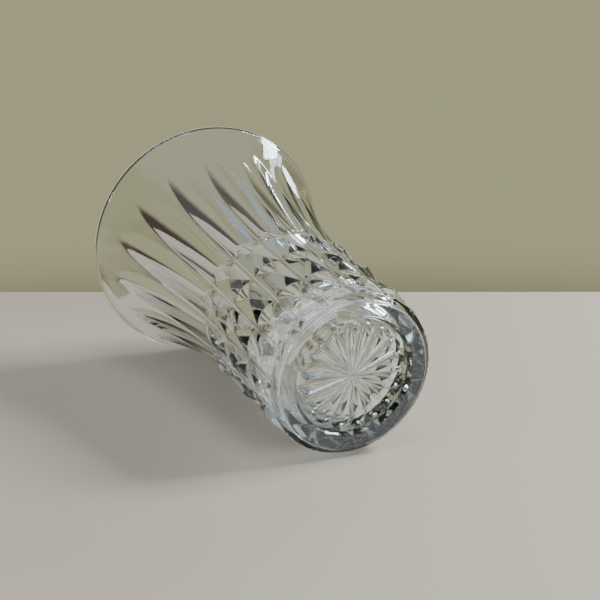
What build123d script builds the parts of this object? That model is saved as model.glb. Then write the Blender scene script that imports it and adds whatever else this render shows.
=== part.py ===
from build123d import *
from math import atan2, cos, sin, tan, pi, sqrt, asin
import os

os.makedirs("parts", exist_ok=True)

# ---------------------------------------------------------------- dimensions
columns = 16                    # flutes, boss columns, ribs and star petals
step_deg = 360 / columns
half_step = pi / columns

height = 160.0                  # resting face to lip
ring_in = 24.4                  # resting ring, flat part
ring_out = 29.4
ring_edge = 30.5                # rounded outer edge of the foot
recess_r = 23.3                 # disc inside the ring
recess_depth = 1.6
foot_slope = 1.25               # radius gained per height above the foot edge
blank_r = 37.2                  # turned blank around the bosses

rib_half = 0.65                 # half width of the land between two columns
column_lean = 0.022             # the band widens by this much per height

row_z = [-1.8, 25.4, 47.2, 67.5]        # boss rows, heights at the ribs
apex_z = [11.8, 36.3, 57.8]
arch_rise = 2.0                 # row boundaries stand higher mid column
eave_0 = 31.75                  # side facets, distance from the axis at z = 0
ridge_0 = 34.95                 # points of the bosses, likewise
point_flat = 0.15               # bluntness of the points
valley_drop = 0.05              # row valleys against the side facets
upper_round = 15.5              # crown of the upper facets, section radius
end_r = 34.2                    # rounded end of the top bosses
end_z = 69.5
end_slope = 0.27
end_round = 10.0

# outside of the unfluted wall, radius at height, from the top bosses up
wall = [(34.5, 70.0), (35.5, 80.0), (36.9, 91.0), (39.8, 109.0),
        (44.1, 128.0), (49.6, 146.0), (54.5, 158.5)]
rib_top = [(33.1, -2.0), (33.1, 14.0), (33.35, 25.4), (33.75, 47.2),
           (34.25, 68.0), (35.3, 77.0)]

# inside
floor_z = 14.0
floor_corner = 7.0
inner = [(27.2, floor_z + floor_corner), (27.6, 47.0), (28.4, 68.0),
         (31.7, 91.0), (35.3, 109.0), (40.2, 128.0), (46.3, 146.0),
         (52.0, 158.7)]

# flutes: height, round section radius, depth under the wall line
flute = [(57.0, 8.2, 3.0), (70.0, 8.2, 3.0), (83.0, 9.3, 2.9),
         (97.0, 11.6, 2.7), (111.0, 14.8, 2.2), (125.0, 18.0, 1.4),
         (139.0, 20.0, 0.4), (150.0, 22.0, -0.9)]

petal_reach = 21.8              # star petals in the recessed disc
petal_start = 0.7
petal_depth = 1.5


def wall_at(z):
    """Radius of the wall line at a height, straight between its points."""
    pts = [(33.3, 50.0)] + wall
    for (r0, z0), (r1, z1) in zip(pts, pts[1:]):
        if z <= z1:
            break
    return r0 + (r1 - r0) * (z - z0) / (z1 - z0)


# ------------------------------------------------- solid of one boss column
# three rows: a flat lower facet and a crowned upper one, cut by the sides
def ridge(z):
    return ridge_0 + column_lean * z


def eave(z):
    return eave_0 + column_lean * z


def low_line(row):
    """Lower facet of a boss row as two points (radius, height)."""
    if row == 0:
        start = (eave(row_z[0]) - 0.66, row_z[0] - 2.2)
    else:
        start = (eave(row_z[row]) - valley_drop, row_z[row])
    return start, (ridge(apex_z[row]) - point_flat, apex_z[row])


def at_height(line, z):
    (r0, z0), (r1, z1) = line
    return r0 + (r1 - r0) * (z - z0) / (z1 - z0)


def up_line(row):
    """Crown line of an upper facet, from the point to the row above."""
    point = (ridge(apex_z[row]) - point_flat, apex_z[row])
    if row == 2:
        return point, (end_r, end_z)
    top = row_z[row + 1] + arch_rise
    return point, (at_height(low_line(row + 1), top), top)


def round_bar(line, radius):
    """Plane and radius of a long round bar whose crown is the line."""
    (r0, z0), (r1, z1) = line
    along = Vector(r1 - r0, 0, z1 - z0).normalized()
    outward = Vector(along.Z, 0, -along.X)
    start = Vector(r0, 0, z0) - outward * radius - along * 60
    return Plane(origin=start, x_dir=(0, 1, 0), z_dir=along)


rows = []
for row in range(3):
    start, point = low_line(row)
    top = apex_z[row + 1] if row < 2 else row_z[3] + 27.0
    with BuildPart() as boss_row:
        with BuildSketch(Plane.XZ):
            with BuildLine():
                Polyline((18, start[1] - 0.5), (start[0], start[1] - 0.5),
                         start, point, (38.0, apex_z[row] + 0.9 * (38.0 - point[0])),
                         (38.0, top), (18, top), close=True)
            make_face()
        extrude(amount=9, both=True)
        with BuildSketch(round_bar(up_line(row), upper_round)):
            Circle(upper_round)
        extrude(amount=150, mode=Mode.INTERSECT)
        if row == 2:
            end_line = ((end_r, end_z), (end_r - end_slope * 10, end_z + 10))
            with BuildSketch(round_bar(end_line, end_round)):
                Circle(end_round)
            extrude(amount=150, mode=Mode.INTERSECT)
    rows.append(boss_row.part)

with BuildPart() as boss_column:
    for row in rows:
        add(row)
    with BuildSketch(Plane.XY.offset(-6)) as gable_face:
        with BuildLine():
            w = 9.0
            drop = (ridge_0 - eave_0) * w / 5.75
            Polyline((10, -w), (ridge(-6) - drop, -w), (ridge(-6), 0),
                     (ridge(-6) - drop, w), (10, w), close=True)
        make_face()
    extrude(amount=120, dir=(column_lean, 0, 1), mode=Mode.INTERSECT)

# ------------------------------------------------------------ column cutter
with BuildPart() as column_cutter:
    for z, rho, depth in flute:
        slope = (wall_at(z + 4) - wall_at(z - 4)) / 8
        turn = atan2(slope, 1.0)
        out = rho - depth
        with BuildSketch(Plane(origin=(wall_at(z) + out * cos(turn), 0,
                                       z - out * sin(turn)),
                               x_dir=(0, 1, 0),
                               z_dir=(sin(turn), 0, cos(turn)))):
            Circle(rho)
    loft()
with column_cutter:
    a_low = half_step - rib_half * 1.5 / 31.0
    a_high = half_step - rib_half * 0.7 / 41.0
    with BuildSketch(Plane.XY.offset(-3)) as cell_face:
        with BuildLine():
            Polyline((29.0 * cos(a_low), -29.0 * sin(a_low)),
                     (42.0 * cos(a_high), -42.0 * sin(a_high)),
                     (42.0 * cos(a_high), 42.0 * sin(a_high)),
                     (29.0 * cos(a_low), 29.0 * sin(a_low)), close=True)
        make_face()
    extrude(amount=row_z[3] + 5.3)
    add(boss_column.part, mode=Mode.SUBTRACT)

# -------------------------------------------------------- rib height cutter
with BuildPart() as rib_trim:
    with BuildSketch(Plane.XZ) as trim_face:
        with BuildLine():
            Polyline(*rib_top, (42, 77.0), (42, -2.0), close=True)
        make_face()
    extrude(amount=1.05, both=True)

# --------------------------------------------------------------- star petal
petal_cx = petal_reach / (1 + tan(half_step))
petal_half = petal_reach - petal_cx
petal_ball = (petal_half ** 2 + petal_depth ** 2) / (2 * petal_depth)
petal_cz = recess_depth + petal_depth - petal_ball

tip = Vector(petal_start, recess_depth)
ball = Vector(petal_cx, petal_cz)
axis_dir = (ball - tip).normalized()
span = (ball - tip).length
half_angle = asin(petal_ball / span)


def turned(v, a):
    return Vector(v.X * cos(a) - v.Y * sin(a), v.X * sin(a) + v.Y * cos(a))


touch = tip + turned(axis_dir, -half_angle) * sqrt(span ** 2 - petal_ball ** 2)
side = ball + turned(axis_dir, -pi / 4) * petal_ball
far = ball + axis_dir * petal_ball

with BuildPart() as star_petal:
    with BuildSketch(Plane.XZ) as petal_face:
        with BuildLine():
            Line((tip.X, tip.Y), (touch.X, touch.Y))
            ThreePointArc((touch.X, touch.Y), (side.X, side.Y),
                          (far.X, far.Y))
            Line((far.X, far.Y), (tip.X, tip.Y))
        make_face()
    revolve(axis=Axis((tip.X, 0, tip.Y), (axis_dir.X, 0, axis_dir.Y)))

# -------------------------------------------------------------------- glass
foot_round = ((ring_edge - ring_out) ** 2 + 1.0) / 2
foot_turn = (pi / 2 + atan2(foot_round - 1.0, ring_edge - ring_out)) / 2
foot_mid = (ring_out + foot_round * cos(foot_turn),
            foot_round - foot_round * sin(foot_turn))

with BuildPart() as mixing_glass:
    # wall, thick bottom and foot in one turned blank
    with BuildSketch(Plane.XZ) as body_face:
        with BuildLine():
            Line((0, recess_depth), (recess_r, recess_depth))
            Line((recess_r, recess_depth), (ring_in, 0))
            Line((ring_in, 0), (ring_out, 0))
            ThreePointArc((ring_out, 0), foot_mid, (ring_edge, 1.0))
            Line((ring_edge, 1.0),
                 (blank_r, 1.0 + (blank_r - ring_edge) / foot_slope))
            Line((blank_r, 1.0 + (blank_r - ring_edge) / foot_slope),
                 (blank_r, 60.0))
            Line((blank_r, 60.0), wall[0])
            Spline(*wall)
            ThreePointArc(wall[-1], (53.33, height - 0.002), inner[-1])
            Spline(*inner)
            ThreePointArc(inner[0],
                          (inner[0][0] - floor_corner * (1 - cos(pi / 4)),
                           floor_z + floor_corner * (1 - sin(pi / 4))),
                          (inner[0][0] - floor_corner, floor_z))
            Line((inner[0][0] - floor_corner, floor_z), (0, floor_z))
            Line((0, floor_z), (0, recess_depth))
        make_face()
    revolve(axis=Axis.Z)
    for turn in (0, step_deg):
        with PolarLocations(0, columns // 2, start_angle=turn):
            add(star_petal.part, mode=Mode.SUBTRACT)
    with PolarLocations(0, columns, start_angle=step_deg / 2):
        add(rib_trim.part, mode=Mode.SUBTRACT)
    for turn in range(columns):
        with Locations(Rotation(0, 0, turn * step_deg)):
            add(column_cutter.part, mode=Mode.SUBTRACT)

mixing_glass.part.label = "mixing_glass"
export_step(mixing_glass.part, "parts/mixing_glass.step")
print(mixing_glass.part.volume, mixing_glass.part.bounding_box(),
      len(mixing_glass.part.solids()), mixing_glass.part.is_valid,
      len(mixing_glass.part.faces()))
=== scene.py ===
import math
import bpy
import numpy as np
from mathutils import Matrix, Vector


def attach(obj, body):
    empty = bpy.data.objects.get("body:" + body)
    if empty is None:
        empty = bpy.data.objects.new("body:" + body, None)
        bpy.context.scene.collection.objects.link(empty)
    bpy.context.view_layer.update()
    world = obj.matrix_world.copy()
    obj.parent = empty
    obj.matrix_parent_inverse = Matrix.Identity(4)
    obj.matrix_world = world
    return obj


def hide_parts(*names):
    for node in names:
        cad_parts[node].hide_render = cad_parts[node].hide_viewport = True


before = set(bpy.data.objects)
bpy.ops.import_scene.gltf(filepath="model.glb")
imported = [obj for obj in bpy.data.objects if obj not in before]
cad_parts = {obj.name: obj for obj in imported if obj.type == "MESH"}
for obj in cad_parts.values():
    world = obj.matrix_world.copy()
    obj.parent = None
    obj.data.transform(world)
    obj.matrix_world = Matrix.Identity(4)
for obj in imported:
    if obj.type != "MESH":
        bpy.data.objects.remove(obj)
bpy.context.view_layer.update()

# --------------------------------------------------------------- the camera
# rows: the camera's right, down and forward directions in the CAD frame
FIT = np.array([[-0.58909362, 0.703565, -0.39744809],
                [-0.60675589, -0.70997307, -0.35747103],
                [-0.53368155, 0.03057007, 0.84513281]])
FIT_T = np.array([0.66805182, 0.94424107, 17.57206921])
TURN = math.radians(-123.75)
spin = np.array([[math.cos(TURN), math.sin(TURN), 0],
                 [-math.sin(TURN), math.cos(TURN), 0],
                 [0, 0, 1]])
view = FIT @ spin
eye = -(view.T @ FIT_T) * 0.0305
right, down, ahead = view

cam_data = bpy.data.cameras.new("camera")
cam_data.lens = 86.10
cam_data.sensor_width = 36.0
cam_data.sensor_fit = "HORIZONTAL"
cam_data.clip_start = 0.01
cam_data.clip_end = 20.0
cam = bpy.data.objects.new("camera", cam_data)
bpy.context.scene.collection.objects.link(cam)
cam.matrix_world = Matrix([[right[i], -down[i], -ahead[i], eye[i]] for i in range(3)] + [[0, 0, 0, 1]])
bpy.context.scene.camera = cam

# ------------------------------------------------- the glass, in millimetres
COLUMNS = 16
HALF = math.pi / COLUMNS
GABLE = 3.2 / 5.75
ROW_Z = [-1.8, 25.4, 47.2, 67.5]
APEX = [11.8, 36.3, 57.8]
UPPER_ROUND, END_ROUND = 15.5, 10.0
SOFT, VALLEY = 0.24, 0.16            # softness of the edges and valleys


def smin(a, b, k):
    h = np.maximum(k - np.abs(a - b), 0) / k
    return np.minimum(a, b) - h * h * k * 0.25


def smax(a, b, k):
    return -smin(-a, -b, k)


def step01(x):
    x = np.clip(x, 0, 1)
    return x * x * (3 - 2 * x)


def ridge(z):
    return 34.95 + 0.022 * z


def eave(z):
    return 31.75 + 0.022 * z


def natural(points):
    """Natural cubic spline through points, by chord length."""
    p = np.array(points, float)
    t = np.concatenate([[0], np.cumsum(np.linalg.norm(np.diff(p, axis=0), axis=1))])
    n = len(t)
    h = np.diff(t)
    a = np.eye(n)
    b = np.zeros_like(p)
    for i in range(1, n - 1):
        a[i, i - 1], a[i, i], a[i, i + 1] = h[i - 1], 2 * (h[i - 1] + h[i]), h[i]
        b[i] = 6 * ((p[i + 1] - p[i]) / h[i] - (p[i] - p[i - 1]) / h[i - 1])
    m = np.linalg.solve(a, b)

    def at(s):
        s = np.asarray(s, float)
        i = np.clip(np.searchsorted(t, s) - 1, 0, n - 2)
        u, v, w = (t[i + 1] - s)[..., None], (s - t[i])[..., None], h[i][..., None]
        return (m[i] * u ** 3 + m[i + 1] * v ** 3) / (6 * w) + (
            p[i] / w - m[i] * w / 6) * u + (p[i + 1] / w - m[i + 1] * w / 6) * v
    return at, t[-1]


wall_at, wall_len = natural([(34.5, 70.0), (35.5, 80.0), (36.9, 91.0), (39.8, 109.0),
                             (44.1, 128.0), (49.6, 146.0), (54.5, 158.5)])
wall_pts = wall_at(np.linspace(0, wall_len, 900))
wall_z = np.concatenate([[40.0], wall_pts[:, 1]])
wall_r = np.concatenate([[31.5], wall_pts[:, 0]])
wall_s = np.gradient(wall_r, wall_z)


def wall(z):
    return np.interp(z, wall_z, wall_r)


def wall_turn(z):
    return np.arctan(np.interp(z, wall_z, wall_s))


flute_at, flute_len = natural([(57.0, 8.2, 3.0), (70.0, 8.2, 3.0), (83.0, 9.3, 2.9),
                               (97.0, 11.6, 2.7), (111.0, 14.8, 2.2), (125.0, 18.0, 1.4),
                               (139.0, 20.0, 0.4), (150.0, 22.0, -0.9), (160.0, 24.0, -2.3)])
flute_pts = flute_at(np.linspace(0, flute_len, 900))


def flute(x, z):
    rho = np.interp(z, flute_pts[:, 0], flute_pts[:, 1])
    depth = np.interp(z, flute_pts[:, 0], flute_pts[:, 2])
    turn = np.cos(wall_turn(z))
    return wall(z) - depth / turn + rho / turn * (1 - np.sqrt(np.maximum(1 - (x / rho) ** 2, 0.01)))


def low_line(row):
    start = (eave(ROW_Z[0]) - 0.66, ROW_Z[0] - 2.2) if row == 0 else (eave(ROW_Z[row]) - 0.05, ROW_Z[row])
    return start, (ridge(APEX[row]) - 0.15, APEX[row])


def on_line(line, z):
    (r0, z0), (r1, z1) = line
    return r0 + (r1 - r0) * (z - z0) / (z1 - z0)


def up_line(row):
    if row == 2:
        return (ridge(APEX[2]) - 0.15, APEX[2]), (34.2, 69.5)
    top = ROW_Z[row + 1] + 2.0
    return (ridge(APEX[row]) - 0.15, APEX[row]), (on_line(low_line(row + 1), top), top)


END_LINE = ((34.2, 69.5), (31.5, 79.5))


def slope(line):
    (r0, z0), (r1, z1) = line
    return (r1 - r0) / (z1 - z0)


def sag(line, radius, x):
    return (radius - np.sqrt(np.maximum(radius ** 2 - x ** 2, 0.01))) * math.sqrt(1 + slope(line) ** 2)


def rows_surface(x, z):
    out = None
    for row in range(3):
        s = smin(on_line(low_line(row), z), on_line(up_line(row), z) - sag(up_line(row), UPPER_ROUND, x), SOFT)
        if row == 2:
            s = smin(s, on_line(END_LINE, z) - sag(END_LINE, END_ROUND, x), SOFT * 0.6)
        out = s if out is None else smax(out, s, VALLEY)
    return out


def gable(x, z):
    return ridge(z) - GABLE * (np.sqrt(x ** 2 + 0.04) - 0.05)


def boss(x, z):
    return smin(rows_surface(x, z), gable(x, z), SOFT)


RIB = np.array([(33.1, -2.0), (33.1, 14.0), (33.35, 25.4), (33.75, 47.2), (34.25, 68.0), (35.3, 77.0), (99, 160)])


def land(z):
    rib = np.interp(z, RIB[:, 1], RIB[:, 0])
    return np.where(z > 66, smin(rib, wall(z), 0.2), rib)


def inner_part(x, z):
    b = boss(x, z)
    f = flute(x, z)
    return b + (smax(b, f, 0.2) - b) * step01((z - 68.8) / 1.6)


def cone(z):
    return 30.5 + 1.25 * (z - 1.0)


# where the creases run, as angles from the middle of a column
tz = np.concatenate([np.arange(2.0, 66, 0.25), np.arange(66, 82, 0.1), np.arange(82, 159.01, 0.5)])


def root(f, low, high):
    """Where f(x, z) turns positive, for every height of the table."""
    lo, hi = np.full_like(tz, low), np.full_like(tz, high)
    for _ in range(40):
        mid = (lo + hi) / 2
        up = f(mid, tz) > 0
        hi, lo = np.where(up, mid, hi), np.where(up, lo, mid)
    return (lo + hi) / 2


def flat_rows(x, z):
    out = None
    for row in range(3):
        s = np.minimum(on_line(low_line(row), z), on_line(up_line(row), z) - sag(up_line(row), UPPER_ROUND, x))
        if row == 2:
            s = np.minimum(s, on_line(END_LINE, z) - sag(END_LINE, END_ROUND, x))
        out = s if out is None else np.maximum(out, s)
    return out


x_gable = root(lambda x, z: flat_rows(x, z) - (ridge(z) - GABLE * x), 0.0, 6.2)
x_arch = root(lambda x, z: flute(x, z) - np.minimum(flat_rows(x, z), ridge(z) - GABLE * x), 0.0, 6.4)
x_edge = root(lambda x, z: np.hypot(flute(x, z), x) - land(z), 0.0, 7.4)
a_gable = np.arctan2(x_gable, ridge(tz) - GABLE * x_gable)
a_arch = np.arctan2(x_arch, flute(x_arch, tz))
a_edge = np.arctan2(x_edge, flute(x_edge, tz))
CELL_IN, CELL_OUT = HALF - 0.84 / 32.4, HALF - 0.68 / 33.6
into = step01((tz - 67.5) / 4.5)
k_b = (1 - into) * CELL_IN + into * np.clip(a_edge - 0.009, 0.045, HALF - 0.012)
k_c = (1 - into) * CELL_OUT + into * np.clip(a_edge + 0.009, 0.060, HALF - 0.005)
k_a = np.where(tz < 77.0, a_arch, k_b * np.clip((tz - 76.0) / 12, 0.0, 0.45))
mix = step01((tz - 68.2) / 1.8)
k_a = (1 - mix) * a_gable + mix * k_a
k_a = np.clip(k_a, 0.008, k_b - 0.010)
BOTTOM = 2.84

FRACTIONS = 16


def angles(z):
    """The sixteen lines of half a column, at the heights z (16, rows)."""
    zz = np.maximum(z, BOTTOM)
    a, b, c = (np.interp(zz, tz, k) for k in (k_a, k_b, k_c))
    out = np.empty_like(z)
    near, far = np.minimum(0.0045, 0.22 * a), np.minimum(0.0115, 0.5 * a)
    near2, far2 = np.minimum(0.0045, 0.25 * (b - a)), np.minimum(0.0115, 0.5 * (b - a))
    rows = [0 * a, 0.33 * (a - far), 0.68 * (a - far), a - far, a - near, a, a + near2, a + far2,
            a + far2 + 0.42 * (b - a - far2), b - 0.2 * np.minimum(0.02, b - a - far2), b, (b + c) / 2, c,
            c + 0.25 * (HALF - c), c + 0.6 * (HALF - c), 0 * a + HALF]
    for i, r in enumerate(rows):
        out[i] = r[i]
    return out


def radius(phi, z):
    r = np.full_like(z, 34.0)
    for _ in range(7):
        r = inner_part(r * np.sin(phi), z) / np.cos(phi)
    top = land(z)
    r = r + (smin(r, top, 0.25) - r) * step01((z - 69.0) / 3.0)
    b = np.interp(np.maximum(z, BOTTOM), tz, k_b)
    c = np.interp(np.maximum(z, BOTTOM), tz, k_c)
    w = step01((phi - b) / (c - b))
    crown = 0.10 * (1 - np.clip((phi - c) / (HALF - c + 1e-9), 0, 1)) ** 2
    crown = crown * step01((90 - z) / 25)
    return r * (1 - w) + (top - crown) * w


nominal = np.array([
    1.0, 1.25, 1.7, 2.2, 2.55, 2.72, 2.84, 2.96, 3.15, 3.5, 4.2, 5.2, 6.6, 8.2, 9.7, 10.9, 11.45, 11.68, 11.8,
    11.92, 12.15, 12.7, 14, 16, 18.2, 20.5, 22.8, 24.8, 26.2, 26.9, 27.25, 27.4, 27.55, 27.9, 28.6, 30, 32, 34,
    35.4, 35.95, 36.18, 36.3, 36.42, 36.65, 37.2, 38.6, 40.6, 42.8, 45, 46.9, 48.2, 48.8, 49.07, 49.2, 49.33, 49.6,
    50.3, 51.8, 53.6, 55.6, 56.9, 57.45, 57.68, 57.8, 57.92, 58.15, 58.7, 60, 62, 64.2, 66.3, 67.9, 68.8, 69.25,
    69.5, 69.75, 70.2, 70.9, 71.7, 72.5, 73.3, 74.1, 74.8, 75.4, 75.9, 76.3, 76.65, 77.0, 77.4, 78, 79, 80.5, 82.5,
    85, 88, 91.5, 95, 99, 103, 107, 111, 115, 119, 123, 127, 130.5, 133.5, 136.5, 139, 141.5, 144, 147, 150, 153,
    155.7, 157.6, 158.5])
idx = np.arange(FRACTIONS)[:, None]
z_nom = np.repeat(nominal[None, :], FRACTIONS, axis=0)

# the crease between the foot's cone and the facets, one height per line
phi0 = angles(np.full((FRACTIONS, 1), BOTTOM))
lo, hi = np.full((FRACTIONS, 1), 1.05), np.full((FRACTIONS, 1), 7.0)
for _ in range(40):
    mid = (lo + hi) / 2
    over = cone(mid) > radius(phi0, mid)
    hi, lo = np.where(over, mid, hi), np.where(over, lo, mid)
z_cut = (lo + hi) / 2

ctrl = np.array([1.0, BOTTOM, 11.8, 27.4, 36.3, 49.2, 57.8, 69.5, 82.0, 160.0])
z = z_nom.copy()
for _ in range(4):
    phi = angles(z)
    x = np.minimum(33.6 * np.sin(phi), 5.5)
    # shift of each control row, by the place across the column
    shift = np.zeros((len(ctrl),) + z.shape)
    shift[1] = BOTTOM - z_cut
    for c_i, row in ((3, 0), (5, 1)):
        shift[c_i] = sag(up_line(row), UPPER_ROUND, x) / (slope(low_line(row + 1)) - slope(up_line(row)))
    shift[7] = np.minimum((sag(END_LINE, END_ROUND, x) - sag(up_line(2), UPPER_ROUND, x))
                          / (slope(up_line(2)) - slope(END_LINE)), 3.6)
    k = np.clip(np.searchsorted(ctrl, z_nom, side="right") - 1, 0, len(ctrl) - 2)
    t = (z_nom - ctrl[k]) / (ctrl[k + 1] - ctrl[k])
    s0 = np.take_along_axis(shift, k[None], axis=0)[0]
    s1 = np.take_along_axis(shift, k[None] + 1, axis=0)[0]
    z = z_nom - (s0 * (1 - t) + s1 * t)
phi = angles(z)
r = radius(phi, z)
r = np.where(z < 9, smin(r, cone(z), 0.16), r)
r[:, -1] = 54.5
band = np.stack([r, phi, z])                      # (3, 16, rows)

# underside: star, recess, resting ring, rounded edge
REACH, START, DEEP = 21.8, 0.7, 1.5
cx = REACH / (1 + math.tan(HALF))
ph = REACH - cx
ball = (ph ** 2 + DEEP ** 2) / (2 * DEEP)
cz = DEEP - ball
span = math.hypot(cx - START, cz)
ax, az = (cx - START) / span, cz / span
c2 = 1 - (ball / span) ** 2


def petal(rho, ang):
    X, x = rho * np.cos(ang), rho * np.sin(ang)
    p = X - START
    A = az ** 2 - c2
    B = 2 * p * ax * az
    C = p ** 2 * ax ** 2 - c2 * (p ** 2 + x ** 2)
    D = B ** 2 - 4 * A * C
    h = (-B - np.sqrt(np.maximum(D, 0))) / (2 * A)
    h = np.where((D < 0) | (p <= 0), -3.0, h)
    q = ball ** 2 - (X - cx) ** 2 - x ** 2
    s = np.where(q > 0, cz + np.sqrt(np.maximum(q, 0)), -3.0)
    along = p * ax + h * az
    return np.where(along > (span ** 2 - ball ** 2) / span, s, np.maximum(h, -3.0))


phi_b = phi0[:, 0]
out_r = cx * np.cos(phi_b) + np.sqrt(ph ** 2 - (cx * np.sin(phi_b)) ** 2)
base = []


def base_row(rho, height=None):
    rho = rho + 0 * phi_b
    if height is None:
        h = smax(petal(rho, phi_b), petal(rho, 2 * HALF - phi_b), 0.14)
        height = 1.6 + smax(h, 0 * h, 0.12)
    base.append(np.stack([rho, phi_b, height + 0 * phi_b]))


for rho in (0.8, 1.5, 2.6, 4.0, 6.0, 8.5, 11.0, 13.5):
    base_row(rho)
for f in (0.35, 0.65, 0.85):
    base_row(13.5 + (out_r - 13.5) * f)
for d in (-0.28, -0.1, 0.0, 0.1):
    base_row(out_r + d)
base_row(out_r + 0.35, 1.6)
base_row((out_r + 0.35) * 0.4 + 23.05 * 0.6, 1.6)
for rho, h in ((23.05, 1.6), (23.22, 1.585), (23.36, 1.50), (23.85, 0.80), (24.32, 0.11), (24.45, 0.02), (24.62, 0.0),
               (25.6, 0.0), (27.2, 0.0), (28.7, 0.0), (29.4, 0.0)):
    base_row(rho, h)
foot = 1.105
top_turn = math.pi / 2 + math.asin((1.0 - foot) / foot)
for i in range(1, 6):
    a = top_turn * i / 6
    base_row(29.4 + foot * math.sin(a), foot - foot * math.cos(a))
base = np.stack(base, axis=2)

# lip and inside
p1, p2, p3 = np.array([54.5, 158.5]), np.array([53.33, 159.998]), np.array([52.0, 158.7])
m = np.array([p2 - p1, p3 - p1]) * 2
centre = np.linalg.solve(m, np.array([p2 @ p2 - p1 @ p1, p3 @ p3 - p1 @ p1]))
lip_r = np.linalg.norm(p1 - centre)
a1, a3 = (math.atan2(*(p - centre)[::-1]) for p in (p1, p3))
profile = [centre + lip_r * np.array([math.cos(a), math.sin(a)])
           for a in np.linspace(a1, a3 if a3 > a1 else a3 + 2 * math.pi, 9)[1:]]
inner_at, inner_len = natural([(27.2, 21.0), (27.6, 47.0), (28.4, 68.0), (31.7, 91.0), (35.3, 109.0),
                               (40.2, 128.0), (46.3, 146.0), (52.0, 158.7)])
profile += [inner_at(inner_len * (1 - i / 22)) for i in range(1, 22)]
profile += [np.array([20.2 + 7 * math.cos(a), 21 - 7 * math.sin(a)]) for a in np.linspace(0, math.pi / 2, 8)]
profile += [np.array([q, 14.0]) for q in (17.0, 12.0, 7.0, 2.5)]
last_phi = phi[:, -1]
inside = np.stack([np.stack([q[0] + 0 * last_phi, last_phi, q[1] + 0 * last_phi]) for q in profile], axis=2)

half = np.concatenate([base, band, inside], axis=2)    # (3, 16, rings)
full_r, full_p, full_z = [], [], []
lines = list(range(FRACTIONS - 1, 0, -1)) + list(range(FRACTIONS))
sign = [-1] * (FRACTIONS - 1) + [1] * FRACTIONS
R, P, Z = [], [], []
for c in range(COLUMNS):
    for n, (i, s) in enumerate(zip(lines, sign)):
        if n == 0:
            continue                       # shared with the column before
        R.append(half[0, i]); P.append(c * 2 * HALF + s * half[1, i]); Z.append(half[2, i])
R, P, Z = np.array(R).T, np.array(P).T, np.array(Z).T   # (rings, around)
rings, around = R.shape
verts = np.stack([R * np.cos(P), R * np.sin(P), Z], axis=2).reshape(-1, 3)
verts = np.concatenate([verts, [[0, 0, 1.6], [0, 0, 14.0]]]) * 0.001
j, i = np.meshgrid(np.arange(rings - 1), np.arange(around), indexing="ij")
i2 = (i + 1) % around
quads = np.stack([j * around + i, j * around + i2, (j + 1) * around + i2, (j + 1) * around + i], axis=2).reshape(-1, 4)
n_a, n_b = rings * around, rings * around + 1
faces = quads.tolist()
faces += [(n_a, (q + 1) % around, q) for q in range(around)]
top = (rings - 1) * around
faces += [(n_b, top + q, top + (q + 1) % around) for q in range(around)]

mesh = bpy.data.meshes.new("pressed_glass")
mesh.from_pydata(verts.tolist(), [], faces)
mesh.validate()
mesh.polygons.foreach_set("use_smooth", np.ones(len(mesh.polygons), dtype=bool))
mesh.update()
glass = bpy.data.objects.new("pressed_glass", mesh)
bpy.context.scene.collection.objects.link(glass)
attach(glass, "root")
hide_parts("mixing_glass")
print("faces", len(mesh.polygons), "rings", rings, "around", around)


# -------------------------------------------------------------- materials
def link(t, a, b):
    t.links.new(a, b)


def math_node(t, op, a, b=None, clamp=False):
    n = t.nodes.new("ShaderNodeMath")
    n.operation = op
    n.use_clamp = clamp
    for s, v in ((0, a), (1, b)):
        if v is None:
            continue
        if isinstance(v, (int, float)):
            n.inputs[s].default_value = v
        else:
            link(t, v, n.inputs[s])
    return n.outputs[0]


def ramp01(t, value, low, high):
    n = t.nodes.new("ShaderNodeMapRange")
    n.interpolation_type = "SMOOTHSTEP"
    n.inputs["From Min"].default_value = low
    n.inputs["From Max"].default_value = high
    link(t, value, n.inputs["Value"])
    return n.outputs["Result"]


def noise(t, vector, scale, detail=2.0, rough=0.5):
    n = t.nodes.new("ShaderNodeTexNoise")
    n.inputs["Scale"].default_value = scale
    n.inputs["Detail"].default_value = detail
    n.inputs["Roughness"].default_value = rough
    link(t, vector, n.inputs["Vector"])
    return n.outputs["Fac"]


mat = bpy.data.materials.new("pressed_clear_glass")
mat.use_nodes = True
t = mat.node_tree
t.nodes.clear()
out = t.nodes.new("ShaderNodeOutputMaterial")
bsdf = t.nodes.new("ShaderNodeBsdfPrincipled")
bsdf.inputs["Base Color"].default_value = (0.975, 0.99, 0.995, 1)
bsdf.inputs["Transmission Weight"].default_value = 1.0
bsdf.inputs["IOR"].default_value = 1.52
coord = t.nodes.new("ShaderNodeTexCoord")
place = coord.outputs["Object"]
axes = t.nodes.new("ShaderNodeSeparateXYZ")
link(t, place, axes.inputs[0])
# distance from the axis
rad = math_node(t, "SQRT", math_node(t, "ADD", math_node(t, "MULTIPLY", axes.outputs[0], axes.outputs[0]),
                                     math_node(t, "MULTIPLY", axes.outputs[1], axes.outputs[1])))
# worn resting ring: within a fraction of a millimetre of the table
low_part = math_node(t, "SUBTRACT", 1.0, ramp01(t, axes.outputs[2], 0.00015, 0.0012))
ring = math_node(t, "MULTIPLY", low_part, ramp01(t, rad, 0.0240, 0.0250))
scuff = ramp01(t, noise(t, place, 900.0, 4.0, 0.65), 0.42, 0.66)
scratch_map = t.nodes.new("ShaderNodeMapping")
scratch_map.inputs["Scale"].default_value = (260.0, 2600.0, 400.0)
scratch_map.inputs["Rotation"].default_value = (0, 0, 0.6)
link(t, place, scratch_map.inputs["Vector"])
scratch = ramp01(t, noise(t, scratch_map.outputs[0], 1.0, 3.0, 0.6), 0.60, 0.72)
wear = math_node(t, "MULTIPLY", ring, math_node(t, "ADD", math_node(t, "MULTIPLY", scuff, 0.75), math_node(t, "MULTIPLY", scratch, 0.6)), clamp=True)
haze = noise(t, place, 60.0, 3.0)
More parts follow.
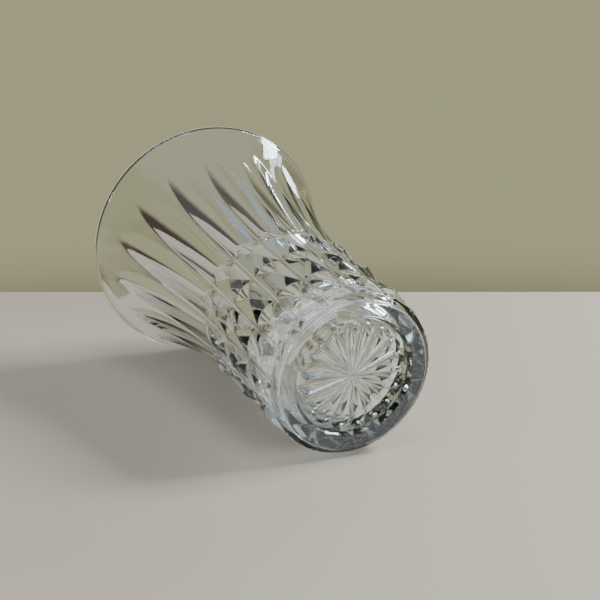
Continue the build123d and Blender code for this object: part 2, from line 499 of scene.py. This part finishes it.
# the scuffed ring is a little milky
milk = math_node(t, "MULTIPLY", ring, math_node(t, "ADD", 0.035, math_node(t, "MULTIPLY", scuff, 0.09)))
link(t, math_node(t, "SUBTRACT", 1.0, milk), bsdf.inputs["Transmission Weight"])
rough = math_node(t, "ADD", math_node(t, "MULTIPLY", haze, 0.012), math_node(t, "MULTIPLY", wear, 0.15))
link(t, rough, bsdf.inputs["Roughness"])
# pressed glass is never quite flat: slow waves, and finer ones from the mould
waves = t.nodes.new("ShaderNodeMapping")
waves.inputs["Scale"].default_value = (1.0, 1.0, 0.45)
link(t, place, waves.inputs["Vector"])
slow = noise(t, waves.outputs[0], 95.0, 1.0)
fine = noise(t, place, 420.0, 2.0)
height = math_node(t, "ADD", math_node(t, "MULTIPLY", slow, 1.0), math_node(t, "MULTIPLY", fine, 0.10))
height = math_node(t, "SUBTRACT", height, math_node(t, "MULTIPLY", wear, 0.05))
bump = t.nodes.new("ShaderNodeBump")
bump.inputs["Strength"].default_value = 0.5
bump.inputs["Distance"].default_value = 0.00022
link(t, height, bump.inputs["Height"])
link(t, bump.outputs["Normal"], bsdf.inputs["Normal"])
link(t, bsdf.outputs[0], out.inputs["Surface"])
vol = t.nodes.new("ShaderNodeVolumeAbsorption")
vol.inputs["Color"].default_value = (0.55, 0.78, 0.92, 1)
vol.inputs["Density"].default_value = 9.0
link(t, vol.outputs[0], out.inputs["Volume"])
mesh.materials.append(mat)

# ------------------------------------------------------------------- stage
up = np.array([0.163, -0.978, 0.131])
up /= np.linalg.norm(up)
low = float((verts @ up).min())
side = right - up * float(right @ up)
side /= np.linalg.norm(side)
away = ahead - up * float(ahead @ up)
away /= np.linalg.norm(away)
focus = np.array([0.0, 0.0, 0.07])


def on_table(px, py):
    d = ahead * 1434.98 + right * (px - 300) + down * (py - 300)
    return eye + d * ((low - float(eye @ up)) / float(d @ up))


far = float((on_table(300, 292) - focus) @ away)
spot = focus - up * (float(focus @ up) - low)


def card(name, centre, u, v, hu, hv):
    m = bpy.data.meshes.new(name)
    pts = [centre + u * a * hu + v * b * hv for a, b in ((-1, -1), (1, -1), (1, 1), (-1, 1))]
    m.from_pydata([tuple(p) for p in pts], [], [(0, 1, 2, 3)])
    o = bpy.data.objects.new(name, m)
    bpy.context.scene.collection.objects.link(o)
    return o


near = float((on_table(300, 650) - focus) @ away)      # the front edge of the table
table = card("table", spot + away * (far + near) / 2, side, away, 0.45, (far - near) / 2)
if float(np.array(table.data.polygons[0].normal) @ up) < 0:
    table.data.flip_normals()
floor_mat = bpy.data.materials.new("pale_table")
floor_mat.use_nodes = True
t = floor_mat.node_tree
t.nodes.clear()
out = t.nodes.new("ShaderNodeOutputMaterial")
dif = t.nodes.new("ShaderNodeBsdfPrincipled")
dif.inputs["Base Color"].default_value = (0.35, 0.28, 0.215, 1)
dif.inputs["Roughness"].default_value = 0.7
clear = t.nodes.new("ShaderNodeBsdfTransparent")
geo = t.nodes.new("ShaderNodeNewGeometry")
mixer = t.nodes.new("ShaderNodeMixShader")
link(t, geo.outputs["Backfacing"], mixer.inputs[0])
link(t, dif.outputs[0], mixer.inputs[1])
link(t, clear.outputs[0], mixer.inputs[2])
link(t, mixer.outputs[0], out.inputs["Surface"])
table.data.materials.append(floor_mat)

world = bpy.data.worlds.new("studio")
bpy.context.scene.world = world
world.use_nodes = True
t = world.node_tree
back = t.nodes["Background"]
sky = t.nodes.new("ShaderNodeTexCoord").outputs["Generated"]


def along(vector):
    n = t.nodes.new("ShaderNodeVectorMath")
    n.operation = "DOT_PRODUCT"
    link(t, sky, n.inputs[0])
    n.inputs[1].default_value = tuple(float(q) for q in vector)
    return n.outputs["Value"]


def blend(fac, a, b):
    n = t.nodes.new("ShaderNodeMix")
    n.data_type = "RGBA"
    link(t, fac, n.inputs[0])
    for s, v in ((n.inputs[6], a), (n.inputs[7], b)):
        if isinstance(v, tuple):
            s.default_value = v + (1,)
        else:
            link(t, v, s)
    return n.outputs[2]


colour = blend(ramp01(t, along(away), -0.45, 0.35), (0.06, 0.10, 0.16), (0.43, 0.42, 0.25))
colour = blend(ramp01(t, along(up), 0.45, 0.95), colour, (0.42, 0.52, 0.64))
side_on = math_node(t, "SUBTRACT", 1.0, ramp01(t, along(away), 0.80, 0.93))
below = math_node(t, "MAXIMUM", ramp01(t, along(-up), 0.21, 0.30),
                  math_node(t, "MULTIPLY", ramp01(t, along(-up), 0.06, 0.30), side_on))
colour = blend(below, colour, (0.075, 0.055, 0.045))
link(t, colour, back.inputs["Color"])
back.inputs["Strength"].default_value = 0.9


def lamp(name, offset, size, power, colour=(1, 1, 1)):
    data = bpy.data.lights.new(name, "AREA")
    data.shape = "RECTANGLE"
    data.size, data.size_y = size
    data.energy = power
    data.color = colour
    o = bpy.data.objects.new(name, data)
    pos = focus + side * offset[0] + up * offset[1] + away * offset[2]
    o.matrix_world = Matrix.Translation(Vector(pos)) @ (Vector(focus - pos).to_track_quat("-Z", "Y")).to_matrix().to_4x4()
    o.visible_camera = False
    bpy.context.scene.collection.objects.link(o)
    return o


lamp("window", (0.85, 0.70, 0.20), (0.36, 0.40), 25, (0.86, 0.94, 1.0))
lamp("overhead", (0.1, 1.0, -0.35), (0.30, 0.30), 3, (0.86, 0.94, 1.0))
lamp("fill", (-0.75, 0.30, -0.45), (0.14, 0.45), 3, (0.85, 0.93, 1.0))
lamp("rim_window", (0.55, 0.50, 0.90), (0.20, 0.34), 4, (0.74, 0.88, 1.0))
lamp("near_window", (0.35, 0.28, -0.80), (0.40, 0.24), 6, (0.78, 0.89, 1.0))


# dark cards that the camera, shadows and diffuse light never see: they show only in the glass's reflections and
# refractions, as painted dark reflections standing in for shade around the glass
def dark_reflection_card(name, offset, size, level):
    pos = focus + side * offset[0] + up * offset[1] + away * offset[2]
    look = focus - pos
    look = look / np.linalg.norm(look)
    u = np.cross(look, up); u /= np.linalg.norm(u)
    v = np.cross(u, look)
    o = card(name, pos, u, v, size[0] / 2, size[1] / 2)
    m = bpy.data.materials.new(name)
    m.use_nodes = True
    b = m.node_tree.nodes["Principled BSDF"]
    b.inputs["Base Color"].default_value = (level, level, level * 0.95, 1)
    b.inputs["Roughness"].default_value = 0.9
    o.data.materials.append(m)
    o.visible_camera = False
    o.visible_shadow = False
    o.visible_diffuse = False
    return o


# painted dark reflections in the glass, from the left and from the near side
dark_reflection_card("dark_reflection_card_left", (-0.55, 0.25, 0.15), (0.5, 0.5), 0.03)
dark_reflection_card("dark_reflection_card_near", (-0.25, 0.35, -0.95), (0.5, 0.35), 0.04)
